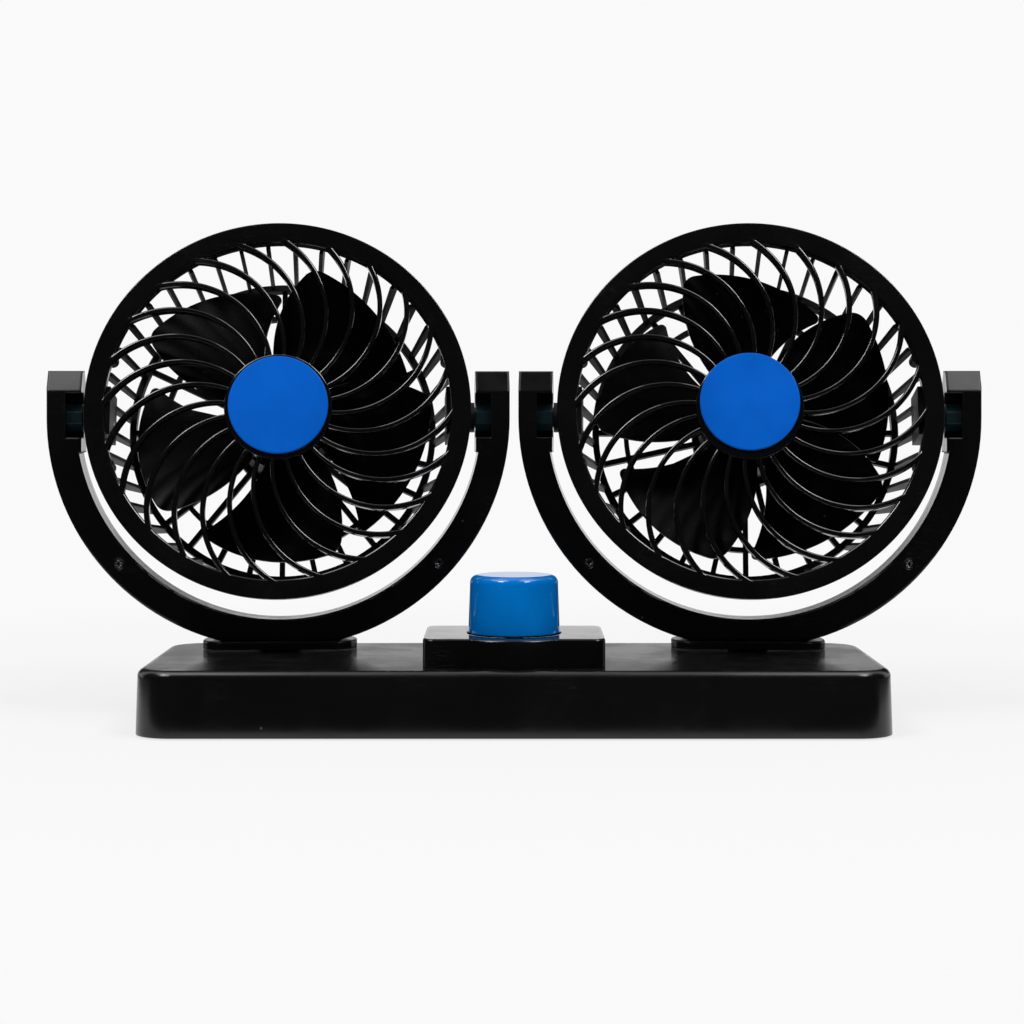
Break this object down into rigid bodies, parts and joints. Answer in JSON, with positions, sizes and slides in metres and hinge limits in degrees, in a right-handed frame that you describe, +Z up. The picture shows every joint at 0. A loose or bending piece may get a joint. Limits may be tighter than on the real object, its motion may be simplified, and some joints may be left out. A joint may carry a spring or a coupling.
{
  "type": "dual head car fan",
  "caption": "Dashboard fan with round guarded heads that tilt in C-shaped yokes and swivel on a flat base with a push button.",
  "frame": {"origin": "on the resting surface under the middle of the base", "axes": "+Z up, the heads face -Y, +X to the right as seen from the front"},
  "size_m": [0.2786, 0.094, 0.1465],
  "materials": {
    "base_black": "gloss",
    "inner_black": "matte",
    "yoke_black": "satin",
    "guard_black": "satin",
    "blade_black": "satin",
    "pin_black": "gloss",
    "disc_blue": "gloss",
    "button_blue": "gloss",
    "plunger_white": "matte",
    "grommet_rubber": "matte",
    "pad_foam": "matte",
    "screw_steel": "satin",
    "motor_steel": "satin"
  },
  "bodies": {
    "base": {"base_housing": "base_black", "base_plate": "inner_black", "base_screws": "screw_steel", "adhesive_pad": "pad_foam", "switch_pod": "base_black", "pod_screws": "screw_steel", "switch_body": "inner_black", "switch_nut": "screw_steel", "cable_grommet": "grommet_rubber"},
    "button": {"button_cap": "button_blue", "switch_plunger": "plunger_white"},
    "left_yoke": {"left_yoke_front": "yoke_black", "left_yoke_rear": "yoke_black", "left_yoke_screws": "screw_steel", "left_pivot_pins": "pin_black", "left_swivel_foot": "base_black", "left_swivel_washer": "screw_steel", "left_swivel_clip": "screw_steel"},
    "left_head": {"left_front_guard": "guard_black", "left_hub_disc": "disc_blue", "left_rear_guard": "guard_black", "left_guard_screws": "screw_steel", "left_motor_can": "motor_steel", "left_motor_endbell": "plunger_white", "left_motor_cover": "guard_black"},
    "left_rotor": {"left_motor_shaft": "motor_steel", "left_impeller": "blade_black"},
    "right_yoke": {"right_yoke_front": "yoke_black", "right_yoke_rear": "yoke_black", "right_yoke_screws": "screw_steel", "right_pivot_pins": "pin_black", "right_swivel_foot": "base_black", "right_swivel_washer": "screw_steel", "right_swivel_clip": "screw_steel"},
    "right_head": {"right_front_guard": "guard_black", "right_hub_disc": "disc_blue", "right_rear_guard": "guard_black", "right_guard_screws": "screw_steel", "right_motor_can": "motor_steel", "right_motor_endbell": "plunger_white", "right_motor_cover": "guard_black"},
    "right_rotor": {"right_motor_shaft": "motor_steel", "right_impeller": "blade_black"}
  },
  "joints": [
    {"name": "button_press", "type": "slide", "parent": "base", "child": "button", "axis": [0, 0, -1], "range_m": [0, 0.003], "stiffness_N_per_m": 500, "springref_m": -0.001},
    {"name": "left_swivel", "type": "hinge", "parent": "base", "child": "left_yoke", "pos_m": [-0.0703, 0.022, 0.0188], "axis": [0, 0, 1], "range_deg": [-173.5, 166.5]},
    {"name": "left_tilt", "type": "hinge", "parent": "left_yoke", "child": "left_head", "pos_m": [-0.0703, 0.022, 0.088], "axis": [-0.9981, -0.061, 0], "range_deg": [-103, 77]},
    {"name": "left_spin", "type": "hinge", "parent": "left_head", "child": "left_rotor", "pos_m": [-0.0703, 0.022, 0.088], "axis": [0.0595, -0.9726, 0.225], "continuous": true},
    {"name": "right_swivel", "type": "hinge", "parent": "base", "child": "right_yoke", "pos_m": [0.0703, 0.022, 0.0188], "axis": [0, 0, 1], "range_deg": [-166.5, 173.5]},
    {"name": "right_tilt", "type": "hinge", "parent": "right_yoke", "child": "right_head", "pos_m": [0.0703, 0.022, 0.088], "axis": [-0.9981, 0.061, 0], "range_deg": [-103, 77]},
    {"name": "right_spin", "type": "hinge", "parent": "right_head", "child": "right_rotor", "pos_m": [0.0703, 0.022, 0.088], "axis": [-0.0595, -0.9726, 0.225], "continuous": true}
  ]
}
